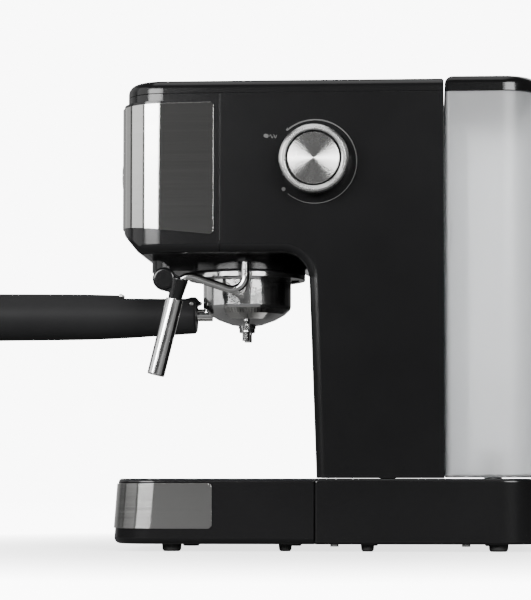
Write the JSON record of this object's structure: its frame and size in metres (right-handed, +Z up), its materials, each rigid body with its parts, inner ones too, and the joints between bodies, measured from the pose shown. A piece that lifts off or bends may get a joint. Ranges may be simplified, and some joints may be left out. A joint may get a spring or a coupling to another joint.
{
  "type": "espresso machine",
  "caption": "Slim counter-top pump espresso machine with portafilter, steam wand, drip tray, lift-off water tank and push buttons.",
  "frame": {"origin": "on the counter, in the machine's middle plane, under the body and 143 mm in front of its rear", "axes": "+Z up; the front and the portafilter handle point along -Y; +X is the user's right, the side with the steam knob and wand"},
  "size_m": [0.1667, 0.3965, 0.3196],
  "materials": {
    "black_plastic": "satin",
    "black_gloss": "gloss",
    "brushed_steel": "brushed",
    "polished_steel": "polished",
    "spun_steel": "spun",
    "frosted_tank": "frosted",
    "rubber": "matte",
    "silicone": "matte",
    "red_silicone": "matte",
    "cast_alloy": "cast",
    "dark_casting": "satin",
    "brass": "machined",
    "zinc_steel": "zinc plated",
    "circuit_board": "satin",
    "white_plastic": "matte",
    "ptfe": "matte",
    "button_face": "satin"
  },
  "bodies": {
    "housing": {"base_housing": "black_plastic", "base_plate": "zinc_steel", "base_screws": "zinc_steel", "rubber_feet": "rubber", "cord_gland": "black_plastic", "front_panel": "brushed_steel", "top_cover": "black_plastic", "cup_plate": "brushed_steel", "button_bezels": "polished_steel", "control_board": "circuit_board", "power_board": "circuit_board", "bayonet_ring": "polished_steel", "group_head": "dark_casting", "group_gasket": "silicone", "shower_screen": "polished_steel", "shower_screw": "zinc_steel", "thermoblock": "cast_alloy", "thermostats": "zinc_steel", "wand_swivel": "black_plastic", "steam_valve": "brass", "pump_body": "white_plastic", "pump_coil": "zinc_steel", "pump_bracket": "zinc_steel", "pump_mounts": "rubber", "relief_valve": "brass", "suction_hose": "silicone", "water_pipes": "ptfe", "valve_seat": "white_plastic", "head_underside_cover": "black_plastic", "column_front_cover": "black_plastic", "rear_cover": "black_plastic", "front_fascia": "black_plastic", "right_side_cover": "black_plastic", "left_side_cover": "black_plastic"},
    "drip_tray": {"drip_tray": "black_plastic", "tray_trim": "brushed_steel"},
    "drip_grid": {"drip_grid": "brushed_steel"},
    "water_tank": {"water_tank": "frosted_tank", "tank_valve_body": "white_plastic", "tank_strainer": "white_plastic", "valve_spring": "zinc_steel"},
    "tank_valve": {"tank_valve_plunger": "white_plastic"},
    "tank_lid": {"tank_lid": "black_plastic"},
    "portafilter": {"portafilter_body": "polished_steel", "filter_basket": "polished_steel", "drip_spout": "polished_steel", "handle": "black_gloss", "retainer_pin": "zinc_steel"},
    "retainer": {"basket_retainer": "black_plastic"},
    "steam_wand": {"steam_tube": "polished_steel", "steam_grip": "rubber", "sleeve_seal": "red_silicone"},
    "frother": {"frother_sleeve": "polished_steel"},
    "steam_knob": {"knob_body": "black_plastic", "knob_bezel": "polished_steel", "knob_cap": "spun_steel", "valve_stem": "zinc_steel"},
    "power_button": {"power_button": "button_face"},
    "brew_button": {"brew_button": "button_face"},
    "steam_button": {"steam_button": "button_face"}
  },
  "joints": [
    {"name": "drip_tray_slide", "type": "slide", "parent": "housing", "child": "drip_tray", "axis": [0, -1, 0], "range_m": [0, 0.14]},
    {"name": "drip_grid_lift", "type": "slide", "parent": "drip_tray", "child": "drip_grid", "axis": [0, 0, 1], "range_m": [0, 0.04]},
    {"name": "water_tank_lift", "type": "slide", "parent": "housing", "child": "water_tank", "axis": [0, 0, 1], "range_m": [0, 0.08]},
    {"name": "tank_valve_push", "type": "slide", "parent": "water_tank", "child": "tank_valve", "axis": [0, 0, 1], "range_m": [0, 0.0015], "stiffness_N_per_m": 200, "deforming": ["valve_spring"]},
    {"name": "tank_lid_lift", "type": "slide", "parent": "water_tank", "child": "tank_lid", "axis": [0, 0, 1], "range_m": [0, 0.05]},
    {"name": "portafilter_turn", "type": "hinge", "parent": "housing", "child": "portafilter", "pos_m": [0, -0.0605, 0.19], "axis": [0, 0, 1], "range_deg": [-45, 0]},
    {"name": "retainer_flip", "type": "hinge", "parent": "portafilter", "child": "retainer", "pos_m": [0, -0.0992, 0.1715], "axis": [-1, 0, 0], "range_deg": [0, 24]},
    {"name": "steam_wand_swing", "type": "hinge", "parent": "housing", "child": "steam_wand", "pos_m": [0.052, -0.0574, 0.2], "axis": [0, 0, 1], "range_deg": [-10, 90]},
    {"name": "frother_sleeve_pull", "type": "slide", "parent": "steam_wand", "child": "frother", "axis": [0, -0.2419, -0.9703], "range_m": [0, 0.05]},
    {"name": "steam_knob_turn", "type": "hinge", "parent": "housing", "child": "steam_knob", "pos_m": [0.075, -0.0088, 0.2618], "axis": [1, 0, 0], "range_deg": [0, 270]},
    {"name": "power_button_press", "type": "slide", "parent": "housing", "child": "power_button", "axis": [0, 1, 0], "range_m": [0, 0.001], "stiffness_N_per_m": 400},
    {"name": "brew_button_press", "type": "slide", "parent": "housing", "child": "brew_button", "axis": [0, 1, 0], "range_m": [0, 0.001], "stiffness_N_per_m": 400},
    {"name": "steam_button_press", "type": "slide", "parent": "housing", "child": "steam_button", "axis": [0, 1, 0], "range_m": [0, 0.001], "stiffness_N_per_m": 400}
  ]
}
